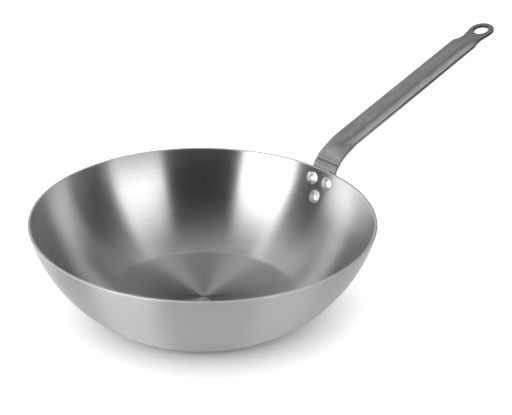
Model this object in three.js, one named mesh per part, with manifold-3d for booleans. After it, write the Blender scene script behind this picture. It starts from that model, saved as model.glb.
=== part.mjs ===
import * as THREE from "three";
import { mergeVertices } from "three/addons/utils/BufferGeometryUtils.js";
import Module from "manifold-3d";

// A flat-based steel wok: a spun bowl and a pressed strap handle, joined by three rivets.
// Millimetres and degrees, +Z up. The origin is the middle of the base's underside,
// and the handle runs along +X.

// Bowl, measured on its outside
const rimRadius = 160;
const bowlHeight = 92;
const sheetThickness = 2.4;
const baseRadius = 86.5;
const kneeRadius = 16;
const wallRadius = 137.2;
const rimRounding = 0.6;

// Handle: a strap that lies on the wall, turns out over the rim in two bends and runs on straight
const strapThickness = 3;
const strapWidth = 30.7;
const rootWidth = 31.6;
const plateWidth = 39;
const plateEndRadius = 12.5;
const bendStartDrop = 1.1;
const rootBendRadius = 21.4;
const rootBendEndSlope = 45.6;
const easyBendRadius = 54;
const handleSlope = 19.9;
const straightLength = 238.3;

// Gutter pressed along the straight, hollow side up
const gutterDepth = 2.9;
const gutterValley = 3.8;
const gutterRunIn = 10;
const gutterRunOut = 20;

// Hanging eye at the end of the handle, with distances back from the middle of its hole
const shoulderToEye = 31.9;
const neckToEye = 16.8;
const neckWidth = 23.4;
const eyeRadius = 14.2;
const eyeHoleLength = 16.7;
const eyeHoleWidth = 16;

// Rivets, placed by the drop of their heads' middles below the rim
const upperRivetDrop = 11.6;
const lowerRivetDrop = 27.6;
const upperRivetSpacing = 20.2;
const shankRadius = 3;
const headRadius = 7;
const headHeight = 2.6;
const setHeadRadius = 5.6;
const setHeadHeight = 2.2;

// Room left between pieces that rest on each other or pass through each other
const clearance = 0.3;

// Facets
const bowlSegments = 80;
const kneeSegments = 4;
const wallSegments = 10;
const rimSegments = 2;
const strapAcross = 8;
const roundEndSegments = 6;
const bendSegments = 8;
const plateSegments = 8;
const straightSegments = 8;
const easeSegments = 7;
const rivetSegments = 20;
const domeSegments = 3;
const eyeHoleSegments = 28;

const wasm = await Module();
wasm.setup();

const quarterTurn = Math.PI / 2;
const trimHeight = bowlHeight - rimRounding;
const rad = THREE.MathUtils.degToRad;

// A share that goes from 0 to 1 between two places, level at both ends.
function ease(value, from, to) {
  return THREE.MathUtils.smoothstep(value, from, to);
}

// Places from one value towards another, with the last one left out.
function evenly(from, to, count) {
  return Array.from({ length: count }, (_, i) => from + ((to - from) * i) / count);
}

// Points on an arc from one angle to another, both ends included.
function arcPoints(centre, radius, from, to, segments) {
  return [...evenly(from, to, segments), to].map(
    (angle) =>
      new THREE.Vector2(centre.x + radius * Math.cos(angle), centre.y + radius * Math.sin(angle)),
  );
}

function toSolid(geometry) {
  const bare = geometry.clone();
  bare.deleteAttribute("normal");
  bare.deleteAttribute("uv");
  const merged = mergeVertices(bare);
  return new wasm.Manifold(
    new wasm.Mesh({
      numProp: 3,
      vertProperties: merged.attributes.position.array,
      triVerts: new Uint32Array(merged.index.array),
    }),
  );
}

function toGeometry(solid) {
  const mesh = solid.getMesh();
  const geometry = new THREE.BufferGeometry();
  geometry.setAttribute("position", new THREE.BufferAttribute(mesh.vertProperties, mesh.numProp));
  geometry.setIndex(new THREE.BufferAttribute(mesh.triVerts, 1));
  geometry.computeVertexNormals();
  return geometry;
}

function cutHoles(geometry, cutters) {
  const cut = cutters.reduce((solid, cutter) => solid.subtract(toSolid(cutter)), toSolid(geometry));
  return toGeometry(cut);
}

// The outer wall is one arc: it runs on smoothly from the knee and ends where the rim is rounded.
function wallArcCentre() {
  const knee = new THREE.Vector2(baseRadius, kneeRadius);
  const chord = new THREE.Vector2(rimRadius, trimHeight).sub(knee);
  const toKnee = wallRadius - kneeRadius;
  const span = chord.length();
  const along = (toKnee ** 2 - wallRadius ** 2 + span ** 2) / (2 * span);
  const aside = Math.sqrt(toKnee ** 2 - along ** 2);
  chord.normalize();
  return new THREE.Vector2(
    knee.x + chord.x * along - chord.y * aside,
    knee.y + chord.y * along + chord.x * aside,
  );
}

const wallCentre = wallArcCentre();

// Angle about the wall arc's centre at a height, on the surface that lies this far outside the wall.
function wallAngle(height, outside) {
  return Math.asin((height - wallCentre.y) / (wallRadius + outside));
}

function bowlProfile() {
  const kneeCentre = new THREE.Vector2(baseRadius, kneeRadius);
  const kneeEnd = Math.atan2(kneeRadius - wallCentre.y, baseRadius - wallCentre.x);
  const outerTop = wallAngle(trimHeight, 0);
  const innerTop = wallAngle(trimHeight, -sheetThickness);
  const innerWall = wallRadius - sheetThickness;
  const innerKnee = kneeRadius - sheetThickness;
  const outerWall = arcPoints(wallCentre, wallRadius, kneeEnd, outerTop, wallSegments);
  const insideWall = arcPoints(wallCentre, innerWall, innerTop, kneeEnd, wallSegments);
  const outerRim = new THREE.Vector2(rimRadius - rimRounding, trimHeight);
  const innerRim = new THREE.Vector2(insideWall[0].x + rimRounding, trimHeight);
  return [
    new THREE.Vector2(0, 0),
    ...arcPoints(kneeCentre, kneeRadius, -quarterTurn, kneeEnd, kneeSegments),
    ...outerWall.slice(1),
    ...arcPoints(outerRim, rimRounding, 0, quarterTurn, rimSegments).slice(1),
    ...arcPoints(innerRim, rimRounding, quarterTurn, Math.PI, rimSegments).slice(0, -1),
    ...insideWall,
    ...arcPoints(kneeCentre, innerKnee, kneeEnd, -quarterTurn, kneeSegments).slice(1),
    new THREE.Vector2(0, sheetThickness),
  ];
}

// A rivet's axis is square to the wall. Its own Y axis starts on the bowl's inner face and points out.
function rivetPlacement(drop, aside) {
  const innerWall = wallRadius - sheetThickness;
  const angle = wallAngle(bowlHeight - drop, -sheetThickness);
  const radius = wallCentre.x + innerWall * Math.cos(angle);
  const turn = Math.asin(aside / radius);
  const flat = Math.cos(angle);
  const out = new THREE.Vector3(flat * Math.cos(turn), flat * Math.sin(turn), Math.sin(angle));
  const seat = new THREE.Vector3(radius * Math.cos(turn), aside, bowlHeight - drop);
  const upright = new THREE.Quaternion().setFromUnitVectors(new THREE.Vector3(0, 1, 0), out);
  return new THREE.Matrix4().compose(seat, upright, new THREE.Vector3(1, 1, 1));
}

const rivets = {
  rivet_upper_left: rivetPlacement(upperRivetDrop, upperRivetSpacing / 2),
  rivet_upper_right: rivetPlacement(upperRivetDrop, -upperRivetSpacing / 2),
  rivet_lower: rivetPlacement(lowerRivetDrop, 0),
};

// Where things lie along a rivet's axis
const headHollow = headRadius ** 2 / (2 * (wallRadius - sheetThickness));
const headSeat = -clearance - headHollow;
const setHeadSeat = sheetThickness + clearance + strapThickness + clearance;

// A dome from its seat to its crown, as a profile that starts at the dome's edge.
function domeProfile(radius, height, seat, direction) {
  const sphere = (radius ** 2 + height ** 2) / (2 * height);
  const centre = new THREE.Vector2(0, height - sphere);
  const edge = Math.asin((sphere - height) / sphere);
  return arcPoints(centre, sphere, edge, quarterTurn, domeSegments).map(
    (point) => new THREE.Vector2(point.x, seat + direction * point.y),
  );
}

function rivetGeometry() {
  const head = domeProfile(headRadius, headHeight, headSeat, -1).reverse();
  const setHead = domeProfile(setHeadRadius, setHeadHeight, setHeadSeat, 1);
  head[0].x = 0;
  setHead.at(-1).x = 0;
  return new THREE.LatheGeometry(
    [
      ...head,
      new THREE.Vector2(shankRadius, headSeat),
      new THREE.Vector2(shankRadius, setHeadSeat),
      ...setHead,
    ],
    rivetSegments,
  );
}

function rivetHoles() {
  const length = setHeadSeat - headSeat;
  return Object.values(rivets).map((placement) =>
    new THREE.CylinderGeometry(shankRadius + clearance, shankRadius + clearance, length, rivetSegments)
      .translate(0, (setHeadSeat + headSeat) / 2, 0)
      .applyMatrix4(placement),
  );
}

// The strap's upper face follows these runs, each with its length and its bend.
const plateArc = wallRadius + clearance;
const lowerRivetAngle = wallAngle(bowlHeight - lowerRivetDrop, -sheetThickness);
const plateStart = lowerRivetAngle - plateEndRadius / plateArc;
const plateEnd = wallAngle(bowlHeight - bendStartDrop, clearance);
const startSlope = plateStart + quarterTurn;
const endSlope = plateEnd + quarterTurn;
const runs = [
  { length: plateArc * (plateEnd - plateStart), bend: 1 / plateArc },
  { length: rootBendRadius * (endSlope - rad(rootBendEndSlope)), bend: -1 / rootBendRadius },
  { length: easyBendRadius * rad(rootBendEndSlope - handleSlope), bend: -1 / easyBendRadius },
  { length: straightLength + eyeRadius, bend: 0 },
];

// Distances along the strap, from the plate's lower end
const upperRivetAngle = wallAngle(bowlHeight - upperRivetDrop, -sheetThickness);
const widestAt = plateArc * (upperRivetAngle - plateStart);
const rootAt = runs[0].length;
const easyBendAt = rootAt + runs[1].length;
const straightAt = easyBendAt + runs[2].length;
const eyeAt = straightAt + straightLength;
const neckAt = eyeAt - neckToEye;
const shoulderAt = eyeAt - shoulderToEye;
const gutterAt = straightAt - gutterRunIn / 2;
const gutterFull = gutterAt + gutterRunIn;
const gutterEnd = neckAt;
const gutterFades = gutterEnd - gutterRunOut;

// Place and slope of the strap's middle line at a distance along it
function strapLine(distance) {
  let radius = wallCentre.x + plateArc * Math.cos(plateStart);
  let height = wallCentre.y + plateArc * Math.sin(plateStart);
  let slope = startSlope;
  let left = distance;
  for (const { length, bend } of runs) {
    const step = Math.min(left, length);
    const next = slope + bend * step;
    radius += bend ? (Math.sin(next) - Math.sin(slope)) / bend : step * Math.cos(slope);
    height += bend ? (Math.cos(slope) - Math.cos(next)) / bend : step * Math.sin(slope);
    slope = next;
    left -= step;
  }
  return { radius, height, slope };
}

// Half the strap's width: round plate end, wide plate, strap, angled shoulder, neck and round eye
function halfWidth(distance) {
  if (distance < plateEndRadius) {
    return Math.sqrt(plateEndRadius ** 2 - (plateEndRadius - distance) ** 2);
  }
  if (distance > eyeAt) {
    return Math.sqrt(eyeRadius ** 2 - (distance - eyeAt) ** 2);
  }
  const half = strapWidth / 2;
  const neck = neckWidth / 2;
  if (distance > neckAt) {
    return THREE.MathUtils.lerp(neck, eyeRadius, ease(distance, neckAt, eyeAt));
  }
  if (distance > shoulderAt) {
    return neck + (half - neck) * ((neckAt - distance) / (neckAt - shoulderAt)) ** 2;
  }
  if (distance > rootAt) {
    return THREE.MathUtils.lerp(rootWidth / 2, half, ease(distance, rootAt, straightAt));
  }
  if (distance > widestAt) {
    return THREE.MathUtils.lerp(plateWidth / 2, rootWidth / 2, ease(distance, widestAt, rootAt));
  }
  return THREE.MathUtils.lerp(plateEndRadius, plateWidth / 2, ease(distance, plateEndRadius, widestAt));
}

// How far the gutter has risen at a place across: 0 in its rounded valley, 1 at its edges
function gutterRise(across) {
  const round = (2 * gutterValley) / strapWidth;
  return (Math.hypot(across, round) - round) / (Math.hypot(1, round) - round);
}

// A point of the strap: how far along it, how far across from -1 to 1, and how deep below its upper face.
// The plate is curved round the bowl. The gutter sinks in the middle about as much as its edges rise.
function strapPoint(distance, across, depth) {
  const { radius, height, slope } = strapLine(distance);
  const aside = across * halfWidth(distance);
  const pressed = ease(distance, gutterAt, gutterFull) * (1 - ease(distance, gutterFades, gutterEnd));
  const meanRise = 0.42;
  const up = gutterDepth * pressed * (gutterRise(across) - meanRise) - depth;
  const outward = radius - up * Math.sin(slope);
  const wrap = 1 - ease(distance, widestAt, rootAt);
  const hollow = wrap * (outward - Math.sqrt(outward ** 2 - aside ** 2));
  return new THREE.Vector3(outward - hollow, aside, height + up * Math.cos(slope));
}

function strapStations() {
  const endAngles = evenly(quarterTurn / roundEndSegments / 2, quarterTurn, roundEndSegments);
  return [
    ...endAngles.map((angle) => plateEndRadius * (1 - Math.cos(angle))),
    ...evenly(plateEndRadius, widestAt, plateSegments),
    ...evenly(widestAt, rootAt, plateSegments / 2),
    ...evenly(rootAt, easyBendAt, bendSegments),
    ...evenly(easyBendAt, gutterAt, bendSegments / 2),
    ...evenly(gutterAt, gutterFull, easeSegments),
    ...evenly(gutterFull, gutterFades, straightSegments),
    ...evenly(gutterFades, shoulderAt, easeSegments),
    ...evenly(shoulderAt, neckAt, easeSegments),
    ...evenly(neckAt, eyeAt, easeSegments),
    ...endAngles.map((angle) => eyeAt + eyeRadius * Math.cos(angle)).reverse(),
  ];
}

function handleGeometry() {
  const stations = strapStations();
  const steps = stations.length - 1;
  const geometry = new THREE.BoxGeometry(steps, 2, strapThickness, steps, strapAcross, 1);
  const places = geometry.attributes.position;
  for (let i = 0; i < places.count; i += 1) {
    const station = stations[Math.round(places.getX(i) + steps / 2)];
    const depth = strapThickness / 2 - places.getZ(i);
    const point = strapPoint(station, places.getY(i), depth);
    places.setXYZ(i, point.x, point.y, point.z);
  }
  return geometry;
}

function eyeHole() {
  const { radius, height, slope } = strapLine(eyeAt);
  const through = strapThickness * 2;
  return new THREE.CylinderGeometry(1, 1, through, eyeHoleSegments)
    .rotateX(quarterTurn)
    .scale(eyeHoleLength / 2, eyeHoleWidth / 2, 1)
    .translate(0, 0, -strapThickness / 2)
    .rotateY(-slope)
    .translate(radius, 0, height);
}

const spunSteel = new THREE.MeshStandardMaterial({ color: 0xa8a8a6, roughness: 0.38, metalness: 1 });
const blastedSteel = new THREE.MeshStandardMaterial({ color: 0x7c7c7a, roughness: 0.6, metalness: 1 });
const rivetSteel = new THREE.MeshStandardMaterial({ color: 0xd6d6d4, roughness: 0.3, metalness: 1 });

const wok = new THREE.Group();

function addPiece(name, geometry, material) {
  const piece = new THREE.Mesh(geometry, material);
  piece.name = name;
  wok.add(piece);
  return piece;
}

const bowl = new THREE.LatheGeometry(bowlProfile(), bowlSegments).rotateX(quarterTurn);
addPiece("bowl", cutHoles(bowl, rivetHoles()), spunSteel);
addPiece("handle", cutHoles(handleGeometry(), [...rivetHoles(), eyeHole()]), blastedSteel);
for (const [name, placement] of Object.entries(rivets)) {
  const rivet = addPiece(name, rivetGeometry(), rivetSteel.clone());
  placement.decompose(rivet.position, rivet.quaternion, rivet.scale);
}

export default wok;
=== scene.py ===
import math

import bmesh
import bpy
from mathutils import Matrix, Vector, noise


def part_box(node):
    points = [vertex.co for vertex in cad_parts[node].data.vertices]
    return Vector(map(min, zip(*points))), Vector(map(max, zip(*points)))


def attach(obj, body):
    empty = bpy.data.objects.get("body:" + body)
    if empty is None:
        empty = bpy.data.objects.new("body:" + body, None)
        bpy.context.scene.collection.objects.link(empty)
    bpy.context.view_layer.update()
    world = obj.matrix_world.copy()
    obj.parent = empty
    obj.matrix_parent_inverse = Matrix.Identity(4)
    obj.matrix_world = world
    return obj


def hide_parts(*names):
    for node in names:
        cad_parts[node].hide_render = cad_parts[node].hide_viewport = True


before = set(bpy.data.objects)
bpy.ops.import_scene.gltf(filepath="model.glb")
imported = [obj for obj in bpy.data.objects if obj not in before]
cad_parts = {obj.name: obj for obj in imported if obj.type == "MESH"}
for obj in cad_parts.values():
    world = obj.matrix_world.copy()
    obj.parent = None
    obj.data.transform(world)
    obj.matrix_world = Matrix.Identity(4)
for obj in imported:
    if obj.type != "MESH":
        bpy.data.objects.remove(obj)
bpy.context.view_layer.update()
print("stage: frame loaded")

mm = 0.001
weld = 0.005 * mm  # points nearer than this become one
noiseLow, noiseHigh = 0.3, 0.7  # most of a noise texture's values lie between these
quarterTurn = 0.25  # turns the stretch of a highlight across the scratches


def ease(value, start, end):
    t = min(1.0, max(0.0, (value - start) / (end - start)))
    return t * t * (3 - 2 * t)


def mix(a, b, t):
    return a + (b - a) * t


# Colours are written as sRGB hex and turned to linear light here.
def colour(code):
    parts = [int(code[i:i + 2], 16) / 255 for i in (0, 2, 4)]
    linear = [c / 12.92 if c <= 0.04045 else ((c + 0.055) / 1.055) ** 2.4 for c in parts]
    return (*linear, 1.0)


def makePiece(name, bm, materials, node, smoothAngle):
    bmesh.ops.recalc_face_normals(bm, faces=bm.faces)
    mesh = bpy.data.meshes.new(name)
    bm.to_mesh(mesh)
    bm.free()
    for material in materials:
        mesh.materials.append(material)
    mesh.shade_smooth()
    mesh.set_sharp_from_angle(angle=math.radians(smoothAngle))
    piece = bpy.data.objects.new(name, mesh)
    bpy.context.scene.collection.objects.link(piece)
    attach(piece, "root")
    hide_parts(node)


# Adds one node with its settings: an input that is a socket is linked, any other is set,
# and i0 is the first input.
def addNode(tree, kind, settings=(), **inputs):
    node = tree.nodes.new(kind)
    for key, value in dict(settings).items():
        setattr(node, key, value)
    for key, value in inputs.items():
        socket = node.inputs[int(key[1:]) if key[1:].isdigit() else key.replace("_", " ")]
        if isinstance(value, bpy.types.NodeSocket):
            tree.links.new(value, socket)
        else:
            socket.default_value = value
    return node


def newMaterial(name):
    material = bpy.data.materials.new(name)
    material.use_nodes = True
    tree = material.node_tree
    tree.nodes.clear()
    return material, tree


# Steel sheet spun on a lathe and brushed in rings: fine scratches run round the axis, so every light
# smears into a band that runs from the floor's middle up the wall. The rings are drawn coarser than
# real brushing, so that they show. The floor was pressed flat, and is a little rougher than the wall.
insideSteel = {"tint": "c2c2c2", "roughness": 0.30, "floorRoughness": 0.41, "stretch": 0.95}
# The outside is brushed with a coarser belt, which leaves it more satin; its tint is a darker copy of the
# inside's, painted shade over the whole outside.
outsideSteel = {"tint": "a8a8a8", "roughness": 0.36, "floorRoughness": 0.36, "stretch": 1.0}
# The scratches of both sides in mm: spacing, length at the rim's radius and height, and how much they show.
# The floor's roughness turns to the wall's between the last two radii.
brushing = {
    "pitch": 0.6, "length": 120.0, "rim": 160.0, "height": 0.06, "bump": 0.12, "wear": 0.04,
    "floorTo": 84.0, "wallFrom": 92.0,
}


def spunSteelMaterial(name, s):
    b = brushing
    material, tree = newMaterial(name)
    place = addNode(tree, "ShaderNodeTexCoord").outputs["Object"]
    flat = addNode(
        tree, "ShaderNodeVectorMath", {"operation": "MULTIPLY"}, i0=place, i1=(1, 1, 0)).outputs[0]
    radius = addNode(tree, "ShaderNodeVectorMath", {"operation": "LENGTH"}, i0=flat).outputs["Value"]
    way = addNode(tree, "ShaderNodeVectorMath", {"operation": "NORMALIZE"}, i0=flat).outputs[0]
    around = addNode(
        tree, "ShaderNodeVectorMath", {"operation": "SCALE"}, i0=way,
        Scale=b["rim"] / b["length"]).outputs[0]
    height = addNode(tree, "ShaderNodeSeparateXYZ", i0=place).outputs[2]
    across = addNode(tree, "ShaderNodeMath", {"operation": "ADD"}, i0=radius, i1=height).outputs[0]
    rings = addNode(
        tree, "ShaderNodeMath", {"operation": "DIVIDE"}, i0=across, i1=b["pitch"] * mm).outputs[0]
    scratches = addNode(
        tree, "ShaderNodeTexNoise", {"noise_dimensions": "4D"},
        Vector=around, W=rings, Scale=1.0, Detail=5.0, Roughness=0.62).outputs[0]
    bump = addNode(
        tree, "ShaderNodeBump", Strength=b["bump"], Distance=b["height"] * mm, Height=scratches).outputs[0]
    tangent = addNode(tree, "ShaderNodeTangent", {"direction_type": "RADIAL", "axis": "Z"}).outputs[0]
    ground = addNode(
        tree, "ShaderNodeMapRange", Value=radius, From_Min=b["floorTo"] * mm, From_Max=b["wallFrom"] * mm,
        To_Min=s["floorRoughness"], To_Max=s["roughness"]).outputs[0]
    wear = addNode(
        tree, "ShaderNodeMapRange", Value=scratches, From_Min=noiseLow, From_Max=noiseHigh,
        To_Min=-b["wear"], To_Max=b["wear"]).outputs[0]
    rough = addNode(tree, "ShaderNodeMath", {"operation": "ADD"}, i0=ground, i1=wear).outputs[0]
    shader = addNode(
        tree, "ShaderNodeBsdfPrincipled", Base_Color=colour(s["tint"]), Metallic=1.0, Roughness=rough,
        Anisotropic=s["stretch"], Anisotropic_Rotation=quarterTurn, Tangent=tangent, Normal=bump).outputs[0]
    addNode(tree, "ShaderNodeOutputMaterial", Surface=shader)
    return material


# Strip steel pressed and blasted with grit: a matt dark grey with a fine even grain, drawn coarser than
# the grit so that it shows, and soft patches along the strip where the blast bit more or less.
blastedSteel = {"tint": "a6a6a6", "roughness": 0.4}
# The strip's sheared, rounded edges: darker than the flats, painted shade along each edge.
shadedEdgeSteel = {"tint": "444444", "roughness": 0.5}
# The strip's flat sides: a painted highlight, a lighter line between its dark edges,
# brightest at the root and duller towards the eye.
highlitSideSteel = {
    "tint": "626262", "roughness": 0.45, "rootHighlight": 4.5, "shineFrom": 165.0, "shineTo": 290.0,
}
# The hollow that the bending tool pressed across the strip: a darker steel on its faces, painted shade in
# the hollow.
markShadeSteel = {"tint": "7d7d7d", "roughness": 0.5}
# What the four share: grain and patches in mm, how the patches are stretched along the strip,
# and how much both show.
blasting = {
    "grain": 0.5, "grainHeight": 0.12, "grainBump": 0.3, "patch": 5.0, "patchStretch": (0.3, 1.0, 0.6),
    "darkest": 0.87, "lightest": 1.12, "roughSpread": 0.05,
}


def blastedSteelMaterial(name, s):
    b = blasting
    material, tree = newMaterial(name)
    place = addNode(tree, "ShaderNodeTexCoord").outputs["Object"]
    grain = addNode(
        tree, "ShaderNodeTexNoise", Vector=place, Scale=1 / (b["grain"] * mm), Detail=3.0).outputs[0]
    along = addNode(tree, "ShaderNodeMapping", Vector=place, Scale=b["patchStretch"]).outputs[0]
    patches = addNode(
        tree, "ShaderNodeTexNoise", Vector=along, Scale=1 / (b["patch"] * mm),
        Detail=5.0, Roughness=0.65).outputs[0]
    shade = addNode(
        tree, "ShaderNodeMapRange", Value=patches, From_Min=noiseLow, From_Max=noiseHigh,
        To_Min=b["darkest"], To_Max=b["lightest"]).outputs[0]
    # Painted highlight: the tint is raised towards the root of the strip.
    if "rootHighlight" in s:
        reach = addNode(tree, "ShaderNodeSeparateXYZ", i0=place).outputs[0]
        shine = addNode(
            tree, "ShaderNodeMapRange", Value=reach, From_Min=s["shineFrom"] * mm,
            From_Max=s["shineTo"] * mm, To_Min=s["rootHighlight"], To_Max=1.0).outputs[0]
        shade = addNode(tree, "ShaderNodeMath", {"operation": "MULTIPLY"}, i0=shade, i1=shine).outputs[0]
    patchedTint = addNode(tree, "ShaderNodeHueSaturation", Value=shade, Color=colour(s["tint"])).outputs[0]
    rough = addNode(
        tree, "ShaderNodeMapRange", Value=patches, From_Min=noiseLow, From_Max=noiseHigh,
        To_Min=s["roughness"] + b["roughSpread"], To_Max=s["roughness"] - b["roughSpread"]).outputs[0]
    bump = addNode(
        tree, "ShaderNodeBump", Strength=b["grainBump"], Distance=b["grainHeight"] * mm,
        Height=grain).outputs[0]
    shader = addNode(
        tree, "ShaderNodeBsdfPrincipled", Base_Color=patchedTint, Metallic=1.0,
        Roughness=rough, Normal=bump).outputs[0]
    addNode(tree, "ShaderNodeOutputMaterial", Surface=shader)
    return material


# Rivet steel set with hammer blows: bright, with small soft dents that each catch the light apart.
hammeredSteel = {"tint": "d6d6d6", "roughness": 0.36, "dent": 1.6, "height": 0.3, "bump": 0.5}
# The rim's edge, trimmed and eased by hand: light all the way round, with no grain to turn the light.
trimmedSteel = {"tint": "d0d0d0", "roughness": 0.5, "dent": 0.7, "height": 0.3, "bump": 0.08}


def workedSteelMaterial(name, s):
    material, tree = newMaterial(name)
    place = addNode(tree, "ShaderNodeTexCoord").outputs["Object"]
    dents = addNode(
        tree, "ShaderNodeTexNoise", Vector=place, Scale=1 / (s["dent"] * mm), Detail=2.0).outputs[0]
    bump = addNode(
        tree, "ShaderNodeBump", Strength=s["bump"], Distance=s["height"] * mm, Height=dents).outputs[0]
    shader = addNode(
        tree, "ShaderNodeBsdfPrincipled", Base_Color=colour(s["tint"]), Metallic=1.0,
        Roughness=s["roughness"], Normal=bump).outputs[0]
    addNode(tree, "ShaderNodeOutputMaterial", Surface=shader)
    return material


# Bowl: the sheet's section, drawn from the underside's middle round the rim to the floor's middle,
# and spun. The rim stays inside the solid's by the gap, and faces that look down are the outside.
bowlSizes = {
    "sheet": 2.4 * mm, "baseRadius": 86.5 * mm, "kneeRadius": 16 * mm, "wallRadius": 137.2 * mm,
    "rimRounding": 0.6 * mm, "rimGap": 0.002 * mm, "outsideBelow": -0.1, "smoothAngle": 50,
    "roundSteps": 240, "floorSteps": 6, "kneeSteps": 8, "wallSteps": 30, "rimSteps": 4,
}
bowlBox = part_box("bowl")
rimRadius, bowlHeight = bowlBox[1].x - bowlSizes["rimGap"], bowlBox[1].z


def findWallCentre():
    s = bowlSizes
    knee = Vector((s["baseRadius"], s["kneeRadius"]))
    chord = Vector((rimRadius, bowlHeight - s["rimRounding"])) - knee
    toKnee = s["wallRadius"] - s["kneeRadius"]
    along = (toKnee ** 2 - s["wallRadius"] ** 2 + chord.length ** 2) / (2 * chord.length)
    aside = math.sqrt(toKnee ** 2 - along ** 2)
    way = chord.normalized()
    return knee + way * along + Vector((-way.y, way.x)) * aside


wallCentre = findWallCentre()


def wallAngle(height, outside):
    return math.asin((height - wallCentre.y) / (bowlSizes["wallRadius"] + outside))


def lineTo(bm, tip, place, steps):
    start = tip.co.copy()
    for step in range(steps):
        tip = bmesh.ops.extrude_vert_indiv(bm, verts=[tip])["verts"][0]
        tip.co = start.lerp(Vector(place), (step + 1) / steps)
    return tip


def arcTo(bm, tip, centre, angle, steps):
    made = bmesh.ops.spin(
        bm, geom=[tip], axis=(0, -1, 0), cent=(centre[0], 0, centre[1]),
        angle=angle, steps=steps, use_merge=False)
    return next(item for item in made["geom_last"] if isinstance(item, bmesh.types.BMVert))


def spinRound(bm, steps):
    bmesh.ops.spin(
        bm, geom=bm.verts[:] + bm.edges[:], axis=(0, 0, 1), cent=(0, 0, 0),
        angle=2 * math.pi, steps=steps, use_merge=True)
    bmesh.ops.remove_doubles(bm, verts=bm.verts, dist=weld)
    bmesh.ops.recalc_face_normals(bm, faces=bm.faces)


def makeBowl(inside, outside, edge):
    s = bowlSizes
    bm = bmesh.new()
    trim = bowlHeight - s["rimRounding"]
    kneeCentre = (s["baseRadius"], s["kneeRadius"])
    kneeEnd = math.atan2(kneeCentre[1] - wallCentre.y, kneeCentre[0] - wallCentre.x)
    outerTop = wallAngle(trim, 0)
    innerTop = wallAngle(trim, -s["sheet"])
    innerTopX = wallCentre.x + (s["wallRadius"] - s["sheet"]) * math.cos(innerTop)
    tip = bm.verts.new((0, 0, 0))
    tip = lineTo(bm, tip, (s["baseRadius"], 0, 0), s["floorSteps"])
    tip = arcTo(bm, tip, kneeCentre, kneeEnd + math.pi / 2, s["kneeSteps"])
    tip = arcTo(bm, tip, wallCentre, outerTop - kneeEnd, s["wallSteps"])
    tip = arcTo(bm, tip, (rimRadius - s["rimRounding"], trim), math.pi / 2, s["rimSteps"])
    tip = lineTo(bm, tip, (innerTopX + s["rimRounding"], 0, bowlHeight), 1)
    tip = arcTo(bm, tip, (innerTopX + s["rimRounding"], trim), math.pi / 2, s["rimSteps"])
    tip = arcTo(bm, tip, wallCentre, kneeEnd - innerTop, s["wallSteps"])
    tip = arcTo(bm, tip, kneeCentre, -math.pi / 2 - kneeEnd, s["kneeSteps"])
    lineTo(bm, tip, (0, 0, s["sheet"]), s["floorSteps"])
    spinRound(bm, s["roundSteps"])
    for face in bm.faces:
        onEdge = face.calc_center_median().z > trim
        face.material_index = 2 if onEdge else 1 if face.normal.z < s["outsideBelow"] else 0
    makePiece("bowlSheet", bm, [inside, outside, edge], "bowl", s["smoothAngle"])


# Handle: the strip is blanked flat, its edges are rounded, and then it is bent, cupped and guttered.
# The blank's rows of faces are closer at the mark and wider on the straight. A face's normal tells
# what it is: it points up or down by less than sideFacing on a side, by more than flatFacing on a flat,
# and up by more than markFacing in the mark's hollow.
handleSizes = {
    "thickness": 3 * mm, "clearance": 0.3 * mm, "strapWidth": 30.7 * mm, "rootWidth": 31.6 * mm,
    "plateWidth": 39 * mm, "plateEndRadius": 12.5 * mm, "bendStartDrop": 1.1 * mm,
    "rootBendRadius": 21.4 * mm, "rootBendEndSlope": math.radians(45.6), "easyBendRadius": 54 * mm,
    "slope": math.radians(19.9), "straightLength": 238.3 * mm,
    "gutterDepth": 2.9 * mm, "gutterValley": 3.8 * mm, "gutterLevel": 0.42,
    "gutterRunIn": 16 * mm, "gutterRunOut": 20 * mm,
    "shoulderToEye": 31.9 * mm, "neckToEye": 16.8 * mm, "neckWidth": 23.4 * mm, "eyeRadius": 14.2 * mm,
    "eyeTrim": 0.14 * mm, "holeLength": 16.7 * mm, "holeWidth": 16 * mm,
    "upperRivetDrop": 11.6 * mm, "lowerRivetDrop": 27.6 * mm, "edgeRound": 0.7 * mm, "edgeSteps": 3,
    "markPastRim": 9.5 * mm, "markDepth": 1.2 * mm, "markWidth": 2.2 * mm, "markShadeSpan": 0.7,
    "columns": 16, "ringLoops": 3, "rowPitch": 2.6 * mm,
    "usualRows": 0.75, "straightRows": 2.2, "markRows": 0.22,
    "besideBend": 8 * mm, "besideMark": 6 * mm, "ringMargin": 2.6 * mm, "bowPastRivets": 10 * mm,
    "sideFacing": 0.1, "markFacing": 0.8, "flatFacing": 0.98, "smoothAngle": 60,
}


def strapRuns():
    s = handleSizes
    plateArc = bowlSizes["wallRadius"] + s["clearance"]
    lower = wallAngle(bowlHeight - s["lowerRivetDrop"], -bowlSizes["sheet"])
    start = lower - s["plateEndRadius"] / plateArc
    end = wallAngle(bowlHeight - s["bendStartDrop"], s["clearance"])
    bent, eased, sloped = math.pi / 2 + end, s["rootBendEndSlope"], s["slope"]
    runs = [
        (plateArc * (end - start), 1 / plateArc),
        (s["rootBendRadius"] * (bent - eased), -1 / s["rootBendRadius"]),
        (s["easyBendRadius"] * (eased - sloped), -1 / s["easyBendRadius"]),
        (s["straightLength"] + s["eyeRadius"], 0.0),
    ]
    return plateArc, start, runs


plateArc, plateStart, runs = strapRuns()
upperRivetAngle = wallAngle(bowlHeight - handleSizes["upperRivetDrop"], -bowlSizes["sheet"])
widestAt = plateArc * (upperRivetAngle - plateStart)
rootAt = runs[0][0]
straightAt = rootAt + runs[1][0] + runs[2][0]
eyeAt = straightAt + handleSizes["straightLength"]
neckAt = eyeAt - handleSizes["neckToEye"]
shoulderAt = eyeAt - handleSizes["shoulderToEye"]
gutterAt = straightAt - handleSizes["gutterRunIn"] / 2
markAt = rootAt + handleSizes["markPastRim"]
gutterFades = neckAt - handleSizes["gutterRunOut"]


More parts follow.
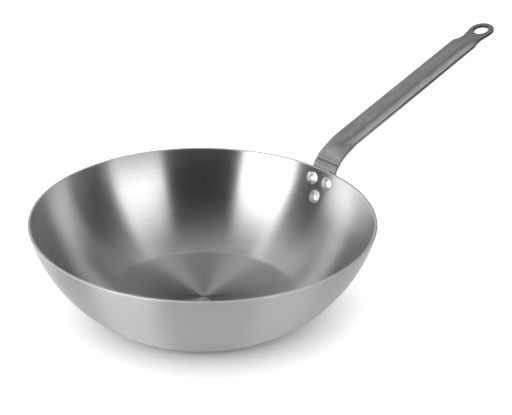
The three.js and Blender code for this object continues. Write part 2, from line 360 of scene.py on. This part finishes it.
def strapLine(distance):
    radius = wallCentre.x + plateArc * math.cos(plateStart)
    height = wallCentre.y + plateArc * math.sin(plateStart)
    slope = plateStart + math.pi / 2
    left = distance
    for index, (length, bend) in enumerate(runs):
        step = left if index == len(runs) - 1 else min(left, length)
        if bend == 0:
            radius += step * math.cos(slope)
            height += step * math.sin(slope)
        else:
            after = slope + step * bend
            radius += (math.sin(after) - math.sin(slope)) / bend
            height += (math.cos(slope) - math.cos(after)) / bend
            slope = after
        left -= step
        if left <= 0:
            break
    return radius, height, slope


def halfWidth(d):
    s = handleSizes
    plateEnd, eye = s["plateEndRadius"], s["eyeRadius"]
    widths = ("plateWidth", "rootWidth", "strapWidth", "neckWidth")
    plate, root, strap, neck = (s[width] / 2 for width in widths)
    if d < plateEnd:
        return math.sqrt(max(0.0, plateEnd ** 2 - (plateEnd - d) ** 2))
    if d > eyeAt:
        return math.sqrt(max(0.0, eye ** 2 - (d - eyeAt) ** 2))
    if d > neckAt:
        return mix(neck, eye, ease(d, neckAt, eyeAt))
    if d > shoulderAt:
        return neck + (strap - neck) * ((neckAt - d) / (neckAt - shoulderAt)) ** 2
    if d > rootAt:
        return mix(root, strap, ease(d, rootAt, straightAt))
    if d > widestAt:
        return mix(plate, root, ease(d, widestAt, rootAt))
    return mix(plateEnd, plate, ease(d, plateEnd, widestAt))


def gutterRise(across):
    valley = 2 * handleSizes["gutterValley"] / handleSizes["strapWidth"]
    return (math.hypot(across, valley) - valley) / (math.hypot(1, valley) - valley)


def bentPlace(flat):
    s = handleSizes
    d, aside, up = flat
    radius, height, slope = strapLine(d)
    pressed = ease(d, gutterAt, gutterAt + s["gutterRunIn"]) * (1 - ease(d, gutterFades, neckAt))
    up += s["gutterDepth"] * pressed * (gutterRise(aside / max(halfWidth(d), mm)) - s["gutterLevel"])
    if up > -s["thickness"] / 2:
        up -= s["markDepth"] * math.exp(-((d - markAt) / s["markWidth"]) ** 2)
    outward = radius - up * math.sin(slope)
    wrap = 1 - ease(d, widestAt, rootAt)
    hollow = wrap * (outward - math.sqrt(outward ** 2 - aside ** 2))
    return Vector((outward - hollow, aside, height + up * math.cos(slope)))


# One row across the blank: its ends lie just inside the outline at d, by the edge's rounding,
# and its middle bows back by the given amount. The last row is the plate's round end.
def rowPlace(d, bow, step):
    columns = handleSizes["columns"]
    half = halfWidth(d) - handleSizes["edgeRound"]
    if d < handleSizes["plateEndRadius"] + weld:
        angle = math.pi * (step / columns - 0.5)
        return Vector((d - half * math.cos(angle), half * math.sin(angle), 0))
    aside = 2 * step / columns - 1
    return Vector((d - bow * (1 - aside ** 2), half * aside, 0))


def blankRows():
    s = handleSizes
    bend, mark = s["besideBend"], s["besideMark"]
    corners = [
        eyeAt, neckAt, shoulderAt, straightAt + bend, straightAt - bend, markAt + mark, markAt - mark,
        rootAt, widestAt, s["plateEndRadius"],
    ]
    spacing = {shoulderAt: s["straightRows"], markAt + mark: s["markRows"]}
    rows = []
    for start, end in zip(corners, corners[1:]):
        pitch = s["rowPitch"] * spacing.get(start, s["usualRows"])
        count = max(2, math.ceil((start - end) / pitch))
        rows += [mix(start, end, (i + 1) / count) for i in range(count)]
    return rows


def rowBow(d):
    s = handleSizes
    atEye = (s["holeLength"] / 2 + s["ringMargin"]) * ease(d, shoulderAt, eyeAt)
    straightened = ease(d, s["plateEndRadius"], widestAt + s["bowPastRivets"])
    atPlate = (s["plateEndRadius"] - s["edgeRound"]) * (1 - straightened)
    return atEye + atPlate


# Pulls a chain of edges on to new places, so that one more row of faces is added to the blank.
def pullRow(bm, chain, places, closed):
    pairs = list(zip(chain, chain[1:] + chain[:1] if closed else chain[1:]))
    made = bmesh.ops.extrude_edge_only(bm, edges=[bm.edges.get(pair) for pair in pairs])["geom"]
    fresh = {item for item in made if isinstance(item, bmesh.types.BMVert)}
    pulled = [next(e.other_vert(v) for e in v.link_edges if e.other_vert(v) in fresh) for v in chain]
    for vert, place in zip(pulled, places):
        vert.co = place
    return pulled


# Cuts the flat strip's sides into rows and pushes them out, so that both edges of each side are round.
def roundSides(bm):
    s = handleSizes
    steps, broken, thickness = s["edgeSteps"], s["edgeRound"], s["thickness"]
    posts = [e for e in bm.edges if abs(e.verts[0].co.z - e.verts[1].co.z) > thickness / 2]
    bmesh.ops.subdivide_edges(bm, edges=posts, cuts=2 * steps, use_grid_fill=True)
    bm.normal_update()
    sides = [v for v in bm.verts if weld - thickness < v.co.z < -weld]
    ways = [Vector((v.normal.x, v.normal.y, 0)).normalized() for v in sides]
    for vert, way in zip(sides, ways):
        row = round(-vert.co.z / thickness * (2 * steps + 1))
        turn = math.pi / 2 * min(row, 2 * steps + 1 - row) / steps
        drop = broken * (1 - math.cos(turn))
        vert.co += way * broken * math.sin(turn)
        vert.co.z = -drop if row <= steps else drop - thickness


def makeHandle(blasted, shadedEdges, pressed, highlitSides):
    s = handleSizes
    columns, loops = s["columns"], s["ringLoops"]
    bm = bmesh.new()
    around = [math.pi * (step / columns - 0.5) for step in range(2 * columns)]
    holeX, holeY = s["holeLength"] / 2 + s["edgeRound"], s["holeWidth"] / 2 + s["edgeRound"]
    inner = [Vector((eyeAt - holeX * math.cos(a), holeY * math.sin(a), 0)) for a in around]
    outer = [rowPlace(eyeAt, rowBow(eyeAt), step) for step in range(columns + 1)]
    ring = s["eyeRadius"] - s["edgeRound"]
    reach = ring - s["eyeTrim"]
    outer += [Vector((eyeAt - reach * math.cos(a), ring * math.sin(a), 0)) for a in around[columns + 1:]]
    chain = bmesh.ops.create_circle(bm, segments=2 * columns, radius=1)["verts"]
    for vert, place in zip(chain, inner):
        vert.co = place
    for loop in range(loops):
        part = (loop + 1) / loops
        chain = pullRow(bm, chain, [a.lerp(b, part) for a, b in zip(inner, outer)], True)
    chain = chain[:columns + 1]
    for d in blankRows():
        chain = pullRow(bm, chain, [rowPlace(d, rowBow(d), step) for step in range(columns + 1)], False)
    bmesh.ops.recalc_face_normals(bm, faces=bm.faces)
    if bm.faces[0].normal.z < 0:
        bmesh.ops.reverse_faces(bm, faces=bm.faces)
    under = bmesh.ops.extrude_face_region(bm, geom=bm.faces[:])["geom"]
    lowered = [item for item in under if isinstance(item, bmesh.types.BMVert)]
    bmesh.ops.translate(bm, verts=lowered, vec=(0, 0, -s["thickness"]))
    bmesh.ops.recalc_face_normals(bm, faces=bm.faces)
    roundSides(bm)
    bm.normal_update()
    for face in bm.faces:
        along, steep = face.calc_center_median().x, abs(face.normal.z)
        # Painted shade: the top faces near the mark's middle take a darker steel.
        inMarkShade = abs(along - markAt) < s["markWidth"] * s["markShadeSpan"] and face.normal.z > s["markFacing"]
        # Painted highlight: the flat sides, short of the neck, take the lighter side steel.
        onSide = steep < s["sideFacing"] and along < neckAt
        # Painted shade: the rounded edges take the darkest steel.
        face.material_index = 2 if inMarkShade else 3 if onSide else 1 if steep < s["flatFacing"] else 0
    for vert in bm.verts:
        vert.co = bentPlace(vert.co)
    steels = [blasted, shadedEdges, pressed, highlitSides]
    makePiece("handleStrap", bm, steels, "handle", s["smoothAngle"])


# Rivets: a domed head on the inside, a shank through wall and strap, and a smaller set head outside.
# The hammer's dents start above the seat and are full from dentFrom up.
rivetSizes = {
    "shankRadius": 3 * mm, "headRadius": 7 * mm, "headHeight": 2.6 * mm, "setHeadRadius": 5.6 * mm,
    "setHeadHeight": 2.2 * mm, "upperSpacing": 20.2 * mm, "roundSteps": 40, "domeSteps": 10, "flatSteps": 2,
    "dent": 0.34 * mm, "dentSize": 2.8 * mm, "dentFrom": 1.0 * mm, "dentSeed": (900, 700, 3.1),
    "smoothAngle": 40,
}


def domeArc(radius, height):
    ball = (radius ** 2 + height ** 2) / (2 * height)
    return ball, math.asin(radius / ball)


def makeRivet(name, drop, aside, material):
    s = rivetSizes
    sheet, gap, strap = bowlSizes["sheet"], handleSizes["clearance"], handleSizes["thickness"]
    inner = bowlSizes["wallRadius"] - sheet
    angle = wallAngle(bowlHeight - drop, -sheet)
    radius = wallCentre.x + inner * math.cos(angle)
    turn = math.asin(aside / radius)
    headSeat = -gap - s["headRadius"] ** 2 / (2 * inner)
    setSeat = sheet + gap + strap + gap
    headBall, headAngle = domeArc(s["headRadius"], s["headHeight"])
    setBall, setAngle = domeArc(s["setHeadRadius"], s["setHeadHeight"])
    bm = bmesh.new()
    tip = bm.verts.new((0, 0, headSeat - s["headHeight"]))
    tip = arcTo(bm, tip, (0, headSeat - s["headHeight"] + headBall), headAngle, s["domeSteps"])
    shank, setEdge = s["shankRadius"], s["setHeadRadius"]
    for reach, level in ((shank, headSeat), (shank, setSeat), (setEdge, setSeat)):
        tip = lineTo(bm, tip, (reach, 0, level), s["flatSteps"])
    arcTo(bm, tip, (0, setSeat + s["setHeadHeight"] - setBall), setAngle, s["domeSteps"])
    spinRound(bm, s["roundSteps"])
    byDrop, bySide, further = s["dentSeed"]
    seed = Vector((drop * byDrop, aside * bySide, further))
    for vert in bm.verts:
        proud = min(1.0, (headSeat - vert.co.z) / s["dentFrom"])
        if proud > 0:
            hollow = noise.noise(vert.co * (1 / s["dentSize"]) + seed)
            vert.co.z += s["dent"] * (1 + hollow) * proud
    flat = math.cos(angle)
    outward = Vector((flat * math.cos(turn), flat * math.sin(turn), math.sin(angle)))
    seat = Vector((radius * math.cos(turn), aside, bowlHeight - drop))
    turned = Matrix.Translation(seat) @ outward.to_track_quat("Z", "Y").to_matrix().to_4x4()
    bmesh.ops.transform(bm, matrix=turned, verts=bm.verts)
    makePiece(name + "Steel", bm, [material], name, s["smoothAngle"])


makeBowl(
    spunSteelMaterial("spun_brushed_steel", insideSteel),
    spunSteelMaterial("belt_brushed_steel_painted_shade", outsideSteel),
    workedSteelMaterial("trimmed_rim_steel", trimmedSteel))
print("stage: bowl")
makeHandle(
    blastedSteelMaterial("blasted_pressed_steel", blastedSteel),
    blastedSteelMaterial("strip_edge_painted_shade", shadedEdgeSteel),
    blastedSteelMaterial("press_mark_painted_shade", markShadeSteel),
    blastedSteelMaterial("strip_side_painted_highlight", highlitSideSteel))
print("stage: handle")
rivetMaterial = workedSteelMaterial("hammered_rivet_steel", hammeredSteel)
halfSpacing = rivetSizes["upperSpacing"] / 2
makeRivet("rivet_upper_left", handleSizes["upperRivetDrop"], halfSpacing, rivetMaterial)
makeRivet("rivet_upper_right", handleSizes["upperRivetDrop"], -halfSpacing, rivetMaterial)
makeRivet("rivet_lower", handleSizes["lowerRivetDrop"], 0, rivetMaterial)
print("stage: rivets")


# Studio: a wide pale floor that keeps the shadow, and soft boxes, in metres.
# The floor's glow is left out under the base and fades in just beyond it, a painted shadow round the base;
# it comes in again far off, where the boxes no longer reach.
studio = {
    "floorSize": 60.0, "floorTint": "f8f8f8", "glow": 0.56, "glowFrom": 0.093, "glowTo": 0.152,
    "farFrom": 2.5, "farTo": 5.5, "surround": 0.005, "cameraSide": -40.08,
}
# Each box: degrees round to the right from the camera's side, how far away, how high, degrees that
# its face is tipped down, the face's size, and its brightness, where 1 is white.
lamps = {
    "leftBox": (-49, 4.0, 1.75, 0, (3.1, 3.3), 4.4),
    "rightBox": (51.8, 4.0, 2.2, 0, (3.0, 2.3), 3.35),
    "leftTopBox": (-62, 2.57, 3.06, 50, (2.5, 1.5), 1.4),
    "rightTopBox": (66, 2.57, 3.06, 50, (2.2, 1.4), 1.35),
    "leftHighBox": (-114, 2.35, 3.24, 54, (1.8, 1.4), 1.1),
    "rightHighBox": (118, 2.35, 3.24, 54, (1.6, 1.3), 0.55),
    "backRightHighBox": (142, 1.9, 3.55, 62, (1.6, 1.3), 0.5),
    "overheadBox": (-165, 0.25, 4.0, 86, (1.9, 1.7), 0.75),
    "backTopBox": (-168, 2.0, 3.4, 60, (2.4, 1.4), 0.75),
    "backBox": (180, 3.8, 1.35, 20, (1.9, 1.1), 2.5),
    "backLeftLowBox": (-127, 4.0, 0.5, 0, (4.2, 0.9), 4.4),
    "backLeftBox": (-127, 4.0, 1.5, 10, (4.2, 1.0), 0.35),
    "backLeftTopBox": (-136, 3.05, 2.55, 40, (2.0, 1.2), 0.9),
    "backRightTopBox": (136, 3.05, 2.55, 40, (2.0, 1.2), 0.45),
    "backRightLowBox": (122, 4.0, 0.8, 0, (1.9, 1.6), 1.0),
}


def makeFloor():
    material, tree = newMaterial("white_paper")
    path = addNode(tree, "ShaderNodeLightPath").outputs
    mirrored = addNode(
        tree, "ShaderNodeMath", {"operation": "MAXIMUM"},
        i0=path["Is Glossy Ray"], i1=path["Is Transmission Ray"]).outputs[0]
    seen = addNode(
        tree, "ShaderNodeMath", {"operation": "MAXIMUM"}, i0=path["Is Camera Ray"], i1=mirrored).outputs[0]
    place = addNode(tree, "ShaderNodeTexCoord").outputs["Object"]
    away = addNode(tree, "ShaderNodeVectorMath", {"operation": "LENGTH"}, i0=place).outputs["Value"]
    # Painted shadow: no glow near the middle, rising to full glow a little way out from the base.
    near = addNode(
        tree, "ShaderNodeMapRange", Value=away, From_Min=studio["glowFrom"], From_Max=studio["glowTo"],
        To_Min=0.0, To_Max=studio["glow"]).outputs[0]
    far = addNode(
        tree, "ShaderNodeMapRange", Value=away, From_Min=studio["farFrom"], From_Max=studio["farTo"],
        To_Min=0.0, To_Max=1.0 - studio["glow"]).outputs[0]
    both = addNode(tree, "ShaderNodeMath", {"operation": "ADD"}, i0=near, i1=far).outputs[0]
    level = addNode(tree, "ShaderNodeMath", {"operation": "MULTIPLY"}, i0=seen, i1=both).outputs[0]
    paper = addNode(tree, "ShaderNodeBsdfDiffuse", Color=colour(studio["floorTint"])).outputs[0]
    glow = addNode(tree, "ShaderNodeEmission", Color=(1, 1, 1, 1), Strength=level).outputs[0]
    lit = addNode(tree, "ShaderNodeAddShader", i0=paper, i1=glow).outputs[0]
    addNode(tree, "ShaderNodeOutputMaterial", Surface=lit)
    bm = bmesh.new()
    bmesh.ops.create_grid(bm, x_segments=1, y_segments=1, size=studio["floorSize"] / 2)
    mesh = bpy.data.meshes.new("studioFloor")
    bm.to_mesh(mesh)
    bm.free()
    mesh.materials.append(material)
    floor = bpy.data.objects.new("studioFloor", mesh)
    bpy.context.scene.collection.objects.link(floor)


def makeLamp(name, around, away, height, tip, size, bright):
    data = bpy.data.lights.new(name, "AREA")
    data.shape = "RECTANGLE"
    data.size, data.size_y = size
    data.energy = math.pi * data.size * data.size_y * bright
    turn = math.radians(around + studio["cameraSide"])
    tipped = math.radians(tip)
    outward = Vector((math.sin(turn), -math.cos(turn), 0))
    lamp = bpy.data.objects.new(name, data)
    lamp.location = outward * away + Vector((0, 0, height))
    towards = -outward * math.cos(tipped) - Vector((0, 0, math.sin(tipped)))
    lamp.rotation_euler = towards.to_track_quat("-Z", "Y").to_euler()
    bpy.context.scene.collection.objects.link(lamp)


def makeWorld():
    world = bpy.data.worlds.new("studioSurround")
    world.use_nodes = True
    tree = world.node_tree
    tree.nodes.clear()
    sky = addNode(
        tree, "ShaderNodeBackground", Color=(1, 1, 1, 1), Strength=studio["surround"]).outputs[0]
    addNode(tree, "ShaderNodeOutputWorld", Surface=sky)
    bpy.context.scene.world = world


# Camera, where the photo's lens stood: set from the rim, base and handle outline.
view = {
    "at": (-0.5376, -0.6388, 0.4990), "aim": (0.0449, -0.0223, 0.0920), "roll": 1.49,
    "lens": 70.4, "sensor": 36, "farthest": 100,
}


def makeCamera():
    data = bpy.data.cameras.new("photoCamera")
    data.sensor_width = view["sensor"]
    data.lens = view["lens"]
    data.clip_end = view["farthest"]
    camera = bpy.data.objects.new("photoCamera", data)
    camera.location = view["at"]
    level = (Vector(view["aim"]) - Vector(view["at"])).to_track_quat("-Z", "Y").to_matrix()
    roll = Matrix.Rotation(math.radians(view["roll"]), 3, "Z")
    camera.rotation_euler = (level @ roll).to_euler()
    bpy.context.scene.collection.objects.link(camera)
    bpy.context.scene.camera = camera


makeFloor()
for name, settings in lamps.items():
    makeLamp(name, *settings)
makeWorld()
makeCamera()
bpy.context.scene.view_settings.view_transform = "Standard"
print("stage: studio")
